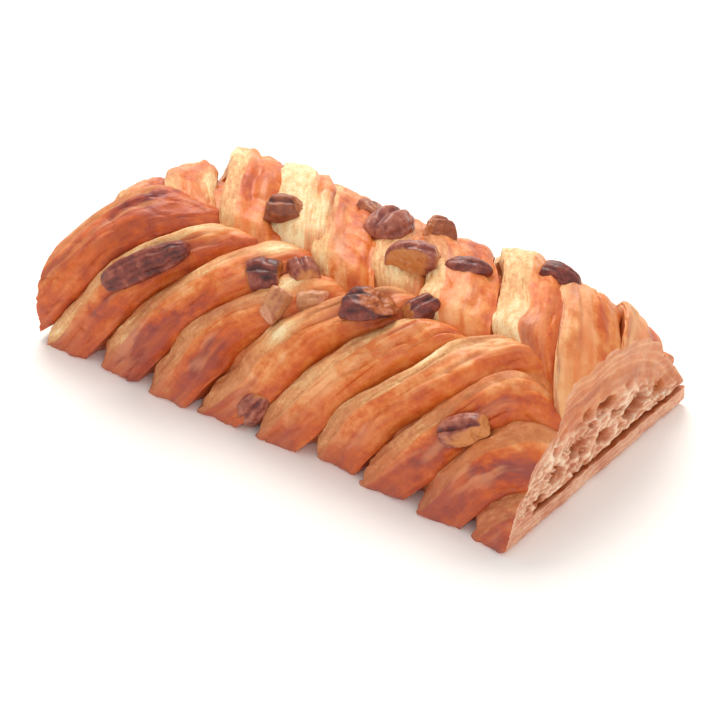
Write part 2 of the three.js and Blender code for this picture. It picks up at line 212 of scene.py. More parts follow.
EDGE_SHARE = 0.15
OUTLINE_ACROSS = [0.10, 0.02, 0.0, 0.05, 0.12, 0.17, 0.25, 0.34, 0.50, 0.66, 0.80, 0.92, 1.0, 1.12]
OUTLINE_HEIGHT = [-7.5, -5.4, -4.2, -2.3, -0.9, -0.35, -0.06, 0.0, -0.12, -0.6, -1.45, -2.8, -4.3, -7.5]
COLUMNS = 50
ROW = 0.56


def strip_outline():
    """Outline points spread evenly by length along the drawn outline, with its corners rounded
    by averaging each point with its neighbours: across, height and length so far."""
    across = np.array(OUTLINE_ACROSS) * PITCH
    height = np.array(OUTLINE_HEIGHT)
    run = np.r_[0, np.cumsum(np.hypot(np.diff(across), np.diff(height)))]
    even = np.linspace(0, run[-1], COLUMNS)
    across = np.interp(even, run, across)
    height = np.interp(even, run, height)
    for _ in range(3):
        across[1:-1] = (across[:-2] + 2 * across[1:-1] + across[2:]) / 4
        height[1:-1] = (height[:-2] + 2 * height[1:-1] + height[2:]) / 4
    return across / PITCH, height, even


STRIP_ACROSS, STRIP_HEIGHT, STRIP_RUN = strip_outline()
CREST = np.argmax(STRIP_HEIGHT)
WALL_COLUMNS = 8
END_ROUNDING = 7.0
FOOT_REACH = 22.0
TOE_REACH = 14.0
LOW_REACH = 9.0
CORNER_REACH = 6.5
FUSED_FROM, FUSED_RUN = 40.0, 14.0
LAYER = 0.85


def hump(value, middle, half):
    """A bell: 1 at the middle, near 0 beyond twice the half-width."""
    return np.exp(-(((value - middle) / half) ** 2))


def rise(value, start, run):
    """0 up to start and 1 beyond start + run, straight between."""
    return np.clip((value - start) / run, 0, 1)


def fade(value, run):
    """1 up to 0 and 0 beyond run, straight between."""
    return np.clip(1 - value / run, 0, 1)


def dough_skin(place, seed):
    """Relief of the baked face in mm: broad swellings, folds drawn out along the strip, creases
    where a noise passes through 0, blisters and a fine roughness."""
    swell = 1.1 * rough(place, 13, seed + 2, 2) + 0.4 * rough(place, 6, seed + 15, 2)
    folds = 0.55 * rough(place, 3.6, seed + 3, 3, (1, 4.5, 1))
    crease = -0.5 * hump(grain(place, (5.0, 14, 1), seed + 10), 0, 0.1)
    crease = crease - 0.35 * hump(grain(place, (7, 5, 1), seed + 11), 0, 0.08)
    blister = np.clip(rough(place, 4.6, seed + 4, 2) - 0.25, 0, 1) ** 1.5 * 1.6
    skin = 0.2 * rough(place, 1.9, seed + 5, 2)
    return swell + folds + crease + blister + skin


def torn_layers(line, place, wall, edge, seed):
    """How far the cut edge stands out past its line in mm: ledges LAYER apart, which end in
    flakes, and a fine roughness."""
    layer = (STRIP_HEIGHT + 0.6 * grain(line, (9, 1, 1), seed + 6)) / LAYER
    ledge = np.abs(layer - np.floor(layer) - 0.5) * 2
    flake = grain((line[0], np.floor(layer), line[1]), (4.5, 1, 1), seed + 7)
    ragged = (0.45 * ledge ** 2 - 0.35 + 0.55 * flake) * wall * (0.7 + 2 * edge)
    return ragged + 0.25 * rough(place, 1.6, seed + 12, 2) * wall


def strip_marks(family, line, beyond, climb, low, seed, fused, cream, brown, pale=None, dark=None):
    """Where a strip shows its cut layers (edge) and how pale they are (cream), and how hard its crust
    baked (bake). deep is where its face runs into the crease under the next strip, for a painted
    saturated orange, partly bounce light and shade, partly crust that browned less. pale gives a pale
    patch, partly dough without egg wash and partly a painted highlight, and dark a hard-baked one:
    its place along and across, and its half-lengths."""
    s = line[0]
    soft = np.clip(1.25 - beyond / (family["blend"] + 0.2 * low), 0, 1) ** 1.5
    soft = np.where(STRIP_RUN < STRIP_RUN[CREST], 1, soft)
    creamy = cream + 0.35 * grain(line, (11, 1, 1), seed + 13) - 0.35 * low
    soft = soft * np.clip(0.62 + 0.5 * creamy - 0.15 * low, 0, 1)
    # A pale patch is partly dough without egg wash and partly a painted highlight where the glaze catches
    # the light.
    if pale:
        patch = hump(s, pale[0], pale[2]) * hump(beyond, pale[1], pale[3])
        soft = np.maximum(soft, 1.1 * patch)
        creamy = np.maximum(creamy, patch)
    bake = family["bake"] + 0.2 * rise(beyond, 0.25, 0.4) + brown
    bake = bake + 0.16 * np.clip(1.6 - s / 12, 0, 1) - 0.14 * climb ** 2
    if dark:
        bake = bake + 0.46 * hump(s, dark[0], dark[2]) * hump(beyond, dark[1], dark[3])
    return {
        "edge": np.clip(soft * (1 - fused * rise(s, 28, 14)), 0, 1),
        "cream": np.clip(creamy, 0, 1),
        "bake": np.clip(bake, 0, 1),
        "deep": np.clip(beyond * 1.8 - 0.8 - 0.5 * low, 0, 1),
    }


def strip_body(name, family, seed, left, end, width=1.0, puff=0.0, foot=0.0, dive=5.0,
               edge=0.16, fused=0.0, **look):
    """One folded strip: its outline, carried over the dome on the line
    x = left + lean s + curl s^2, swollen by half a sine along its length, flared at its foot and
    tucked in under it, and dived into the loaf at its end. edge is the cut edge's share of the
    width, and fused is how far the upper part melts into the next strip."""
    s = np.linspace(-FLOOR_DEPTH, end, int(end / ROW))[:, None]
    zero = 0 * s
    line = (s, zero, zero)
    low = fade(s, LOW_REACH) ** 2
    climb = rise(s, 0, end)
    edge_share = edge * (1 + 0.4 * grain(line, (7, 1, 1), seed + 1))
    beyond = np.maximum(STRIP_ACROSS - EDGE_SHARE, 0) / (1 - EDGE_SHARE)
    across = np.minimum(STRIP_ACROSS, EDGE_SHARE) * edge_share / EDGE_SHARE
    across = across + beyond * (1 - edge_share)
    across = 1.0 + (across - 1.0) * (1 - (0.02 + 0.06 * dice(np.array([seed, 1, 2]), 5)) * low)

    wander = 1.6 * grain(line, (14, 1, 1), seed) + 0.5 * grain(line, (5, 1, 1), seed)
    corner = np.clip(1 - across * 3.2, 0, 1) ** 1.5
    x = left + family["lean"] * s + family["curl"] * s * s + across * width * PITCH + wander
    x = x - family["toe"] * fade(s, TOE_REACH) ** 2
    x = x + 5.0 * corner * fade(s, CORNER_REACH) ** 1.4

    rounding = np.clip((s - end + END_ROUNDING) / END_ROUNDING, 0, 1)
    hem = 1 + 0.8 * grain((across * 5, 0 * across, 0 * across), (1, 1, 1), seed + 14)
    tuck = (0.8 + 3.2 * corner) * np.clip(1 - s / (1.6 + 4.4 * corner) / hem, 0, 1) ** 1.5
    lift = puff * np.sin(np.pi * climb) + foot * fade(s, FOOT_REACH) ** 2
    lift = lift - dive * rounding ** 2 - tuck
    lift = lift + (across - 0.4) * 1.8 * grain(line, (19, 1, 1), seed + 9)
    root = lift * (STRIP_HEIGHT > -STRIP_ROOT) if puff > 0 else lift

    flatter = 1 - fused * rise(s, FUSED_FROM, FUSED_RUN)
    boxy = (1 - family["flat"]) * (1 - 0.85 * np.clip(1.2 - s / 12, 0, 1) * np.clip(beyond * 3 - 1, 0, 1))
    relief = np.where(STRIP_HEIGHT > -4.5, STRIP_HEIGHT * flatter * boxy, STRIP_HEIGHT)
    furrow = 0.48 + 0.16 * grain(line, (12, 1, 1), seed + 16)
    furrow = -1.1 * dice(np.array([seed, 3, 1]), 7) * hump(beyond, furrow, 0.07) * np.sin(np.pi * climb)
    face = rise(STRIP_HEIGHT, -5.5, 3.0) * rise(beyond, 0, 0.12)
    wall = rise(STRIP_HEIGHT, -5.6, 1.5) * np.clip((0.25 - beyond) / 0.25, 0, 1) ** 2
    wall = wall * (np.arange(COLUMNS) < CREST + WALL_COLUMNS)
    place = (STRIP_RUN * width, s, zero)
    bumps = (dough_skin(place, seed) + furrow) * face
    lip = 0.55 * rough(line, 5, seed + 8, 3) * wall

    y, z = dome_point(s, relief + root + bumps + lip)
    x = x + torn_layers(line, place, wall, edge, seed)
    y = y * -family["side"]
    rings = np.stack([np.broadcast_to(x, y.shape), y, z * end_taper(x)], -1)
    marks = strip_marks(family, line, beyond, climb, low, seed, fused, **look)
    pattern = (STRIP_RUN * width + 40 * (seed % 37), s + 3 * seed)
    return closed_mesh(name, rings, marks, pattern)


# The two families of strips. lean and curl bend a strip's line, toe swings its foot back in mm,
# flat presses that share of its relief down, blend is the share of its width over which the pale
# edge fades, and bake is how hard its crust baked.

NEAR_SIDE = {"side": -1, "lean": 0.55, "curl": 0.0035, "toe": 1.5, "flat": 0.15, "blend": 0.2,
             "bake": 0.33}
FAR_SIDE = {"side": 1, "lean": 0.615, "curl": 0.0, "toe": 1.0, "flat": 0.5, "blend": 0.13,
            "bake": 0.36}
# The pale patches below are partly dough without egg wash and partly painted highlights on the glaze.
NEAR_STRIPS = [
    dict(left=-88.5, end=54, width=1.47, puff=2.6, foot=0.0, edge=0.10, cream=0.1, brown=0.12,
         dark=(43, 0.3, 9, 0.16)),
    dict(left=-66.5, end=50, puff=0.2, foot=1.8, edge=0.14, cream=0.6, brown=-0.02, dark=(15, 0.6, 6, 0.2)),
    dict(left=-51.5, end=52, puff=0.6, foot=0.2, edge=0.14, cream=0.2, brown=0.06, dark=(14, 0.5, 8, 0.22),
         pale=(45, 0.3, 5, 0.3)),
    dict(left=-36.5, end=47, puff=0.2, foot=1.4, edge=0.14, cream=0.2, brown=0.03, dark=(13, 0.6, 7, 0.2),
         pale=(37, 0.2, 6, 0.3)),
    dict(left=-21.0, end=53, puff=0.8, foot=1.2, edge=0.18, cream=0.2, brown=-0.04,
         pale=(27, 0.15, 6, 0.25)),
    dict(left=-6.0, end=47, puff=0.4, foot=0.6, edge=0.14, cream=0.45, brown=-0.08),
    dict(left=9.0, end=52, puff=0.8, foot=-1.6, edge=0.12, cream=0.5, brown=-0.04,
         pale=(36, 0.0, 8, 0.14)),
    dict(left=24.0, end=45, puff=0.2, foot=0.6, edge=0.12, cream=0.2, brown=0.08, dark=(17, 0.65, 8, 0.2)),
    dict(left=39.0, end=42, puff=0.4, foot=1.2, edge=0.12, cream=0.15, brown=0.14, dark=(25, 0.6, 9, 0.3)),
    dict(left=54.0, end=34, puff=0.4, foot=1.6, edge=0.2, cream=0.3, brown=0.1, dark=(14, 0.1, 9, 0.2)),
]
FAR_STRIPS = [
    dict(left=-105.6, end=68, puff=-5.4, foot=0.0, edge=0.16, cream=0.4, brown=0.05),
    dict(left=-89.4, end=68, puff=-4.6, foot=0.0, edge=0.08, cream=0.5, brown=-0.05,
         pale=(52, 0.95, 12, 0.35)),
    dict(left=-72.4, end=70, width=1.15, puff=0.9, foot=0.4, edge=0.05, cream=0.6, brown=0.0,
         dark=(54, 0.3, 5, 0.2), pale=(40, 0.0, 7, 0.3)),
    dict(left=-57.4, end=66, width=1.1, puff=2.2, foot=1.0, edge=0.42, cream=0.9, brown=-0.12,
         pale=(54, 0.6, 8, 0.6)),
    dict(left=-46.0, end=71, width=1.15, puff=0.6, foot=0.0, edge=0.07, cream=0.6, brown=-0.03),
    dict(left=-30.0, end=66, puff=0.2, foot=1.8, edge=0.24, cream=0.7, brown=-0.15, pale=(58, 0.4, 9, 0.5)),
    dict(left=-17.0, end=70, width=1.3, puff=0.8, foot=0.6, edge=0.08, cream=0.5, brown=-0.08),
    dict(left=3.5, end=68, width=1.1, puff=3.2, foot=-1.0, edge=0.34, cream=0.8, brown=-0.05),
    dict(left=19.5, end=74, width=1.15, puff=1.4, foot=1.0, edge=0.1, cream=0.5, brown=-0.14,
         pale=(44, 0.05, 7, 0.25), fused=0.6),
    dict(left=36.3, end=66, width=1.1, puff=1.4, foot=0.2, edge=0.05, cream=0.3, brown=-0.14, fused=0.85),
    dict(left=52.3, end=60, puff=0.6, foot=0.8, edge=0.05, cream=0.2, brown=-0.12, fused=0.9),
]


def core_body():
    """The dough under the strips: the dome drawn in by CORE_INSET, slightly uneven, tucked in at
    the floor and sunk where the first far strips lie low."""
    x = np.linspace(-HALF_LENGTH - 4, HALF_LENGTH + 4, 130)[:, None]
    s = np.linspace(-FLOOR_DEPTH, DOME_ARC + FLOOR_DEPTH, 90)[None, :]
    uneven = 0.6 * rough((x, s, 0 * x * s), 6, 500, 3)
    tuck = 2.2 * np.clip(1 - np.minimum(s, DOME_ARC - s) / 6, 0, 1) ** 2
    sunk = 4.0 * np.clip((-36 - x) / 12, 0, 1) * np.clip((s - 58) / 8, 0, 1)
    y, z = dome_point(s, -CORE_INSET + uneven - tuck - sunk)
    rings = np.stack(np.broadcast_arrays(x, y, z * end_taper(x)), -1)
    marks = {"edge": 0.4, "cream": 0.3, "bake": 0.4, "deep": 0.4}
    return closed_mesh("pastry", rings, marks, (s + 0 * x, x + 0 * s))


# Both ends are cut with a knife: the bottom sheet lies under a slit, and above it the risen layers
# have torn into pockets. Layers are LAMINATION apart, level near the sheet and domed above it.

LAMINATION = 1.15
FACE_HALF_WIDTH, FACE_COLUMNS = 38.0, 236
FACE_BOTTOM, FACE_TOP, FACE_ROWS = -0.4, 33.0, 104
CUTTER_REACH = 60.0
CUTTER_BOTTOM, CUTTER_TOP = -3.0, 50.0
CUTTER_THICKNESS = 55.0
SLIT_HEIGHT = 1.1
SLIT_DEPTH = 4.5
RIGHT_SLIT = (-26.0, 40.0)
LEFT_SLIT = (-20.0, 29.0)
RIGHT_POCKETS = [
    (-17, 11, 2.6, 1.7, 3.4), (-9, 13.5, 2.6, 2.2, 4.0), (1, 11, 2.5, 1.6, 3.5), (4, 18, 3.2, 1.3, 3),
    (14, 11.5, 4.8, 2.3, 5.6), (25, 10, 2.2, 1.2, 3.5), (-23, 8, 2.0, 1.1, 2.4), (-4, 19, 2.2, 1.1, 2.2),
]
LEFT_POCKETS = [
    (-14, 11, 3.6, 1.9, 4.0), (-3, 12, 2.6, 2.1, 4.5), (8, 11, 3.6, 1.8, 4.0), (19, 11.5, 2.6, 1.6, 3.5),
    (2, 18, 3.1, 1.1, 2.5), (-20, 15, 2.4, 1.2, 2.6), (12, 17, 2.4, 1.1, 2.4),
]


def cell_walls(u, v, seed):
    """How much farther the second-nearest of a set of scattered points is than the nearest, with
    one point in each unit square: 0 on the walls between their cells. Also each cell's number."""
    square = np.stack([np.floor(u), np.floor(v), 0 * u], -1).astype(np.int64)
    nearest = np.full(u.shape, 9.0)
    second = nearest.copy()
    number = nearest * 0
    for step in np.ndindex(5, 5):
        other = square + np.array([step[0] - 2, step[1] - 2, 0])
        point_u = other[..., 0] + dice(other, seed)
        point_v = other[..., 1] + dice(other, seed + 1)
        away = np.hypot(u - point_u, v - point_v)
        number = np.where(away < nearest, dice(other, seed + 2), number)
        second = np.minimum(second, np.maximum(nearest, away))
        nearest = np.minimum(nearest, away)
    return second - nearest, number


def crumb_layers(y, z, end, seed):
    """The layers on a cut end. level is the height of the dome through each point, layers runs
    flat near the bottom sheet and domed above it, and bend and warp wave them, all in mm."""
    flat = 0 * y * z
    risen = HEIGHT * (RIGHT_SHARE if end > 0 else LEFT_SHARE)
    level = np.abs(2 * y / WIDTH) ** DOME_POWER + np.abs(z / risen) ** DOME_POWER
    level = HEIGHT * level ** (1 / DOME_POWER)
    domed = rise(z, 7, 9)
    layers = (1 - domed) * z + domed * level * 0.8
    bend = 0.8 * rough((y, z, flat), 9, seed, 2)
    warp = 0.7 * rough((y, z, flat), 3.5, seed + 4, 2)
    return level, layers, bend, warp


def opened(depth, deep, y, z, warp, wave, pockets, slit_run):
    """depth and deep with the pockets, which are half-ellipsoids behind the cut, and with the
    slit over the bottom sheet, which closes over the last 3 mm of its run."""
    for middle_y, middle_z, half_wide, half_high, far_in in pockets:
        away = ((y + warp - middle_y) / half_wide) ** 2 + ((z + wave - middle_z) / half_high) ** 2
        depth = np.maximum(depth, far_in * np.sqrt(np.clip(1 - away, 0, 1)))
        deep = np.maximum(deep, np.clip(1.3 - away, 0, 1))
    off_slit = np.abs(z + 0.5 * wave - SHEET_THICKNESS - SLIT_HEIGHT / 2) / (SLIT_HEIGHT / 2)
    beside = np.clip(np.minimum(y - slit_run[0], slit_run[1] - y) / 3, 0, 1)
    slit = np.clip(2.2 - 1.6 * off_slit, 0, 1) * beside
    depth = np.maximum(depth, slit * SLIT_DEPTH)
    deep = np.maximum(deep, np.clip(2.3 - 1.2 * off_slit, 0, 1) * beside)
    return depth, deep


def end_cutter(name, end, pockets, slit_run, shoulder, seed):
    """A slab whose inner face is the cut end: depth behind the flat cut is the deepest of the
    slit, the rounded pockets and the thin-walled cells between the layers. shoulder is how far
    the crust rolls over the upper edge."""
    y = np.linspace(-FACE_HALF_WIDTH, FACE_HALF_WIDTH, FACE_COLUMNS)
    z = np.linspace(FACE_BOTTOM, FACE_TOP, FACE_ROWS)
    y = np.r_[-CUTTER_REACH, y, CUTTER_REACH][:, None]
    z = np.r_[CUTTER_BOTTOM, z, CUTTER_TOP][None, :]
    flat = 0 * y * z
    face = (y, z, flat)
    level, layers, bend, warp = crumb_layers(y, z, end, seed)
    walls, number = cell_walls((y + 1.6 * warp) / 4.8, (layers + bend + warp) / 1.9, seed + 1)
    walls = walls + 0.22 * rough(face, 1.6, seed + 9, 2)
    open_cell = np.clip((walls - 0.04) / 0.45, 0, 1) * (0.1 + 0.9 * number ** 1.5)
    slab = 1 - np.clip((z - SHEET_THICKNESS - 0.8) / 1.2, 0, 1) + flat
    inside = np.clip((35 - level) / 2.5, 0, 1)
    rolled = np.clip((level + 2 * bend - 23) / 10, 0, 1) * rise(z, 6.5, 4)
    rolled = rolled * rise(y, -20, 9)
    above = (1 - slab) * inside * (1 - np.clip(rolled * 2.4 - 0.7, 0, 1))
    lines = np.abs(((z + bend) / LAMINATION) % 1 - 0.5) * 2

    depth = 0.3 + 0.2 * lines * slab + open_cell * above * 2.8
    depth = depth + 0.3 * inside * rough(face, 1.3, seed + 2, 2)
    depth = depth + 0.4 * inside * rough(face, 5, seed + 5, 2)
    depth = depth + 0.8 * rough(face, 4.5, seed + 12, 3) * rolled
    depth = depth + shoulder * rolled ** 2 + 1.3 * fade(z, 2.5) ** 2
    wave = 0.7 * rough(face, 5.0, seed + 3, 2)
    # deep is painted shade: darkest inside the open cells, the pockets and the slit.
    depth, deep = opened(depth, open_cell * above * 0.75, y, z, warp, wave, pockets, slit_run)
    inner = np.stack([end * (HALF_LENGTH - depth), y + flat, z + flat], -1)
    outer = np.stack([end * (HALF_LENGTH + CUTTER_THICKNESS) + flat, y + flat, z + flat], -1)
    rings = np.concatenate([inner, outer[:, ::-1]], 1)

    skins = hump(np.abs((level + bend) % 2.6 - 1.3), 1.3, 0.4) * (1 - slab)
    cream = 0.15 + 0.3 * lines * slab + 0.7 * (1 - np.clip(walls / 0.35, 0, 1)) * above
    cream = cream + 0.4 * rough(face, 6, seed + 8, 3)
    cream = cream + 0.5 * skins * rise(level, 28, 6)
    crumb = 1 - 0.6 * np.clip(rolled * 2.2 - 0.4 + 0.4 * warp, 0, 1)
    marks = {
        "crumb": np.concatenate([crumb, crumb], 1),
        "bake": 0.3,
        "edge": 0.35,
        "deep": np.concatenate([deep, 0 * deep], 1),
        "cream": np.clip(np.concatenate([cream, cream], 1), 0, 1),
    }
    pattern = (np.concatenate([layers + bend] * 2, 1), np.concatenate([y + flat] * 2, 1))
    return closed_mesh(name, rings, marks, pattern)


def floor_cutter():
    """A flat box under the floor line, which trims the bottom of the loaf flat."""
    x = np.array([-HALF_LENGTH - CUTTER_REACH, HALF_LENGTH + CUTTER_REACH])[:, None]
    y = np.array([-CUTTER_REACH, CUTTER_REACH, CUTTER_REACH, -CUTTER_REACH])[None, :]
    z = np.array([0.0, 0.0, -20.0, -20.0])[None, :]
    rings = np.stack(np.broadcast_arrays(x, y, z), -1)
    return closed_mesh("floor_trim", rings, {"bake": 0.75}, (y + 0 * x, x + 0 * y))


strips = []
for number, shape in enumerate(NEAR_STRIPS):
    strips.append(strip_body(f"near_{number}", NEAR_SIDE, 20 * number + 1, **shape))
for number, shape in enumerate(FAR_STRIPS):
    strips.append(strip_body(f"far_{number}", FAR_SIDE, 20 * number + 301, dive=6.0, **shape))
pastry = joined(core_body(), strips, "UNION")
cutters = [
    end_cutter("right_cut", 1, RIGHT_POCKETS, RIGHT_SLIT, 2.6, 700),
    end_cutter("left_cut", -1, LEFT_POCKETS, LEFT_SLIT, 1.6, 760),
    floor_cutter(),
]
pastry = joined(pastry, cutters, "DIFFERENCE")
pastry.data.shade_smooth()
pastry.data.set_sharp_from_angle(angle=np.radians(50))


def linear(code):
    """An sRGB hex colour as linear red, green, blue and alpha."""
    share = np.array([int(code[i:i + 2], 16) for i in (1, 3, 5)]) / 255
    low = share / 12.92
    high = ((share + 0.055) / 1.055) ** 2.4
    return (*np.where(share <= 0.04045, low, high), 1.0)


def add(tree, kind, inputs=(), output=None, stops=(), **settings):
    """Adds a node with its settings and inputs, and gives its first output or the one named. Each
    input is a value or another node's output, by name or in order. stops are the places and hex
    colours of a colour ramp."""
    node = tree.nodes.new("ShaderNode" + kind)
    for key, value in settings.items():
        setattr(node, key, value)
    in_use = [socket for socket in node.inputs if socket.enabled]
    named = inputs if isinstance(inputs, dict) else dict(enumerate(inputs))
    for key, value in named.items():
        socket = node.inputs[key] if isinstance(key, str) else in_use[key]
        if isinstance(value, bpy.types.NodeSocket):
            tree.links.new(value, socket)
        else:
            socket.default_value = value
    for number, (place, code) in enumerate(stops):
        if number >= len(node.color_ramp.elements):
            node.color_ramp.elements.new(1.0)
        node.color_ramp.elements[number].position = place
        node.color_ramp.elements[number].color = linear(code)
    if output:
        return node.outputs[output]
    return next((socket for socket in node.outputs if socket.enabled), None)


def total(tree, start, *parts):
    """start + strength x pattern, for each pattern and its strength."""
    for pattern, strength in parts:
        start = add(tree, "Math", (pattern, strength, start), operation="MULTIPLY_ADD")
    return start


def new_material(name):
    """An empty node material and its tree."""
    made = bpy.data.materials.new(name)
    made.use_nodes = True
    made.node_tree.nodes.clear()
    return made, made.node_tree


PER_METRE = (1 / MM, 1 / MM, 1 / MM)


def glazed_crust():
    """Egg-washed Danish crust under a thin sugar glaze: amber and purple-brown where it baked hardest,
    tan and cream where the cut layers had no egg wash. Painted light and shade on it: golden orange in
    the creases under the strips, partly crust that browned less there, mauve-brown shade toward the
    floor, highlights in some pale patches and darker amber inside the crumb's openings."""
    made, tree = new_material("egg_washed_crust")
    where = add(tree, "TexCoord", output="Object")
    where = add(tree, "Mapping", {"Vector": where, "Scale": PER_METRE})
    strip = add(tree, "UVMap", uv_map="dough_mm")
    along = add(tree, "Mapping", {"Vector": strip, "Scale": (1, 0.25, 1)})
    mark = {name: add(tree, "Attribute", output="Fac", attribute_name=name) for name in MARKS}

    # Uneven browning in bands 7 mm wide and patches 3.6 mm across, specks of 0.8 mm and streaks
    # 1.1 mm wide. Bands and streaks follow the strip and are four times as long as wide.
    broad, patch, speck, streak = [
        add(tree, "TexNoise", {"Vector": place, "Scale": 1 / size, "Detail": detail, "Roughness": gain})
        for place, size, detail, gain in (
            (along, 7, 3, 0.55), (where, 3.6, 4, 0.62), (where, 0.8, 3, 0.6), (along, 1.1, 4, 0.62))]

    brown = total(tree, -1.525, (broad, 1.3), (mark["bake"], 1), (patch, 1.15), (streak, 0.4), (speck, 0.2))
    crust = add(tree, "ValToRGB", (brown,), stops=[
        (0.0, "#eaae78"), (0.2, "#e29458"), (0.4, "#d57434"), (0.6, "#c45822"), (0.8, "#a8462b"),
        (1.0, "#853a34")])
    for size, code, share in ((4.6, "#a04c3c", 0.65), (3.4, "#e8a070", 0.55), (5.2, "#d8691e", 0.6)):
        spot = add(tree, "TexNoise", {"Vector": along, "Scale": 1 / size, "Detail": 2, "Roughness": 0.55})
        spot = add(tree, "MapRange", {"Value": spot, "From Min": 0.5, "From Max": 0.7, "To Max": share},
                   interpolation_type="SMOOTHSTEP")
        crust = add(tree, "Mix", (spot, crust, linear(code)), data_type="RGBA")
    # Painted shade: the crust turns mauve-brown toward the floor, from none at 17 mm up to half at 1 mm and
    # below.
    height = add(tree, "SeparateXYZ", (where,), output="Z")
    painted_low_shade = add(tree, "MapRange", {"Value": height, "From Min": 17.0, "From Max": 1.0, "To Max": 0.5})
    crust = add(tree, "Mix", (painted_low_shade, crust, linear("#a85848")), data_type="RGBA")
    # Painted bounce light and shade, partly real: deep mixes in a saturated orange where a strip's face
    # runs into the crease under the next strip, where the crust also browned less.
    young_crust_and_bounce_orange = add(tree, "ValToRGB", (brown,), stops=[(0.1, "#de8530"), (0.5, "#cc5c18"), (0.9, "#aa421c")])
    crust = add(tree, "Mix", (total(tree, 0.0, (mark["deep"], 0.75)), crust, young_crust_and_bounce_orange), data_type="RGBA")

    layers = total(tree, -0.55, (streak, 1), (speck, 0.5), (mark["cream"], 0.7))
    raw = add(tree, "ValToRGB", (layers,), stops=[
        (0.05, "#a85e38"), (0.3, "#bd7446"), (0.5, "#cf8e5c"), (0.72, "#e3b67f"), (0.95, "#efdaac")])
    ragged = total(tree, -0.7, (mark["edge"], 1), (patch, 0.9), (streak, 0.5))
    bare = add(tree, "MapRange", {"Value": ragged, "From Min": 0.15, "From Max": 1.0},
               interpolation_type="SMOOTHSTEP")
    colour = add(tree, "Mix", (bare, crust, raw), data_type="RGBA")

    torn = add(tree, "ValToRGB", (total(tree, 0.1, (layers, 0.8)),), stops=[
        (0.1, "#bc7052"), (0.32, "#d08e70"), (0.55, "#e6b494"), (0.8, "#f6dcc0")])
    # Painted shade: the crumb turns amber-brown inside its cells, pockets and slit, by deep.
    pocket = add(tree, "ValToRGB", (mark["deep"],), stops=[
        (0.3, "#bf6c38"), (0.75, "#a64e1e"), (1.0, "#7a3517")])
    hollow = add(tree, "MapRange", {"Value": mark["deep"], "From Max": 0.7})
    torn = add(tree, "Mix", (hollow, torn, pocket), data_type="RGBA")
    colour = add(tree, "Mix", (mark["crumb"], colour, torn), data_type="RGBA")

    fine = total(tree, 0.0, (streak, 0.7), (speck, 0.6))
    matt = add(tree, "Math", (bare, mark["crumb"]), operation="MAXIMUM")
    surface = add(tree, "BsdfPrincipled", {
        "Base Color": colour,
        "Roughness": total(tree, 0.5, (matt, 0.15)),
        "Normal": add(tree, "Bump", {"Height": fine, "Strength": 0.6, "Distance": 0.4 * MM}),
        "Subsurface Weight": 0.15,
        "Subsurface Radius": (1.0, 0.45, 0.18),
        "Subsurface Scale": 2.0 * MM,
        "Specular IOR Level": 0.35,
        "Coat Weight": total(tree, 0.16, (matt, -0.12)),
        "Coat Roughness": 0.3,
    })
    add(tree, "OutputMaterial", (surface,))
    return made


pastry.data.materials.clear()
pastry.data.materials.append(glazed_crust())
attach(pastry, "root")
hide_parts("pastry")

# ---------------------------------------------------------------------------------------------
# Pecans: kernels pressed on before baking, one whole half and the rest broken. A half is a domed
# back with a groove down the middle and wrinkled ribs beside it, over a flatter face.

KERNEL_RINGS = 90
KERNEL_SIDES = 96
BREAK_SHARPNESS = 2.8


def kernel_grid(long, wide, high, breaks, seed, groove=0.26, ribs=0.09, point=0.75, lumps=0.06):
    """A pecan half: x = long cos(t) / 2 and a section flattened below, grooved along the top and
    beside it, creased and lumpy by noise. Each break is a rough plane that limits how far the
    surface lies from the middle; a soft minimum of all the distances rounds the broken edges. The
    groove and ribs are bells at angles from the top, in degrees."""
    turn = np.linspace(0.02, np.pi - 0.02, KERNEL_RINGS)[:, None]
    angle = np.linspace(0, 2 * np.pi, KERNEL_SIDES, endpoint=False)[None, :]
    reach = np.sin(turn) ** point * (1 + 0.08 * np.cos(turn))
    top = np.sin(angle)
    wander = 7 * grain((turn * 3, 0 * turn, 0 * turn), (1, 1, 1), seed)
    off_top = np.degrees(np.arctan2(np.cos(angle), top)) + wander
    dent = groove * hump(off_top, 0, 13)
    for side, half, depth in ((40, 9, ribs), (72, 8, 0.8 * ribs)):
        dent = dent + depth * (hump(off_top, side, half) + hump(off_top, -side, half))
    dent = dent + 0.12 * hump(np.abs(off_top), 180, 30)
    x = -long / 2 * np.cos(turn) + 0 * angle
    place = (x, wide * np.cos(angle) + 0 * turn, high * top + 0 * turn)
    crease = 0.05 * rough(place, 2.2, seed + 1, 3, (0.7, 1.5, 1.5)) + lumps * rough(place, 5.5, seed + 2, 2)
    radius = reach * (1 - dent * np.sin(turn) ** 0.5 + crease)
    flat = np.where(top < 0, 0.45, 1.0)
    points = np.stack([x, wide / 2 * radius * np.cos(angle), 0.62 * high * radius * top * flat], -1)
    away = np.linalg.norm(points, axis=-1)
    ways = points / away[..., None]
    limits = [away]
    for number, (normal, keep) in enumerate(breaks):
        normal = np.array(normal) / np.linalg.norm(normal)
        facing = np.maximum(ways @ normal, 1e-3)
        uneven = 0.75 * rough(tuple(np.moveaxis(points, -1, 0)), 3.0, seed + 30 + number, 3)
        limits.append(np.minimum((keep + uneven) / facing, 60))
    limits = np.stack(limits)
    shares = np.exp(-BREAK_SHARPNESS * (limits - limits.min(0)))
    far = limits.min(0) - np.log(shares.sum(0)) / BREAK_SHARPNESS
    broken = 1 - shares[0] / shares.sum(0)
    marks = {"bake": np.clip(dent * 3.2 - crease * 4, 0, 1), "crumb": np.clip(broken * 1.6 - 0.3, 0, 1)}
    return ways * far[..., None], marks


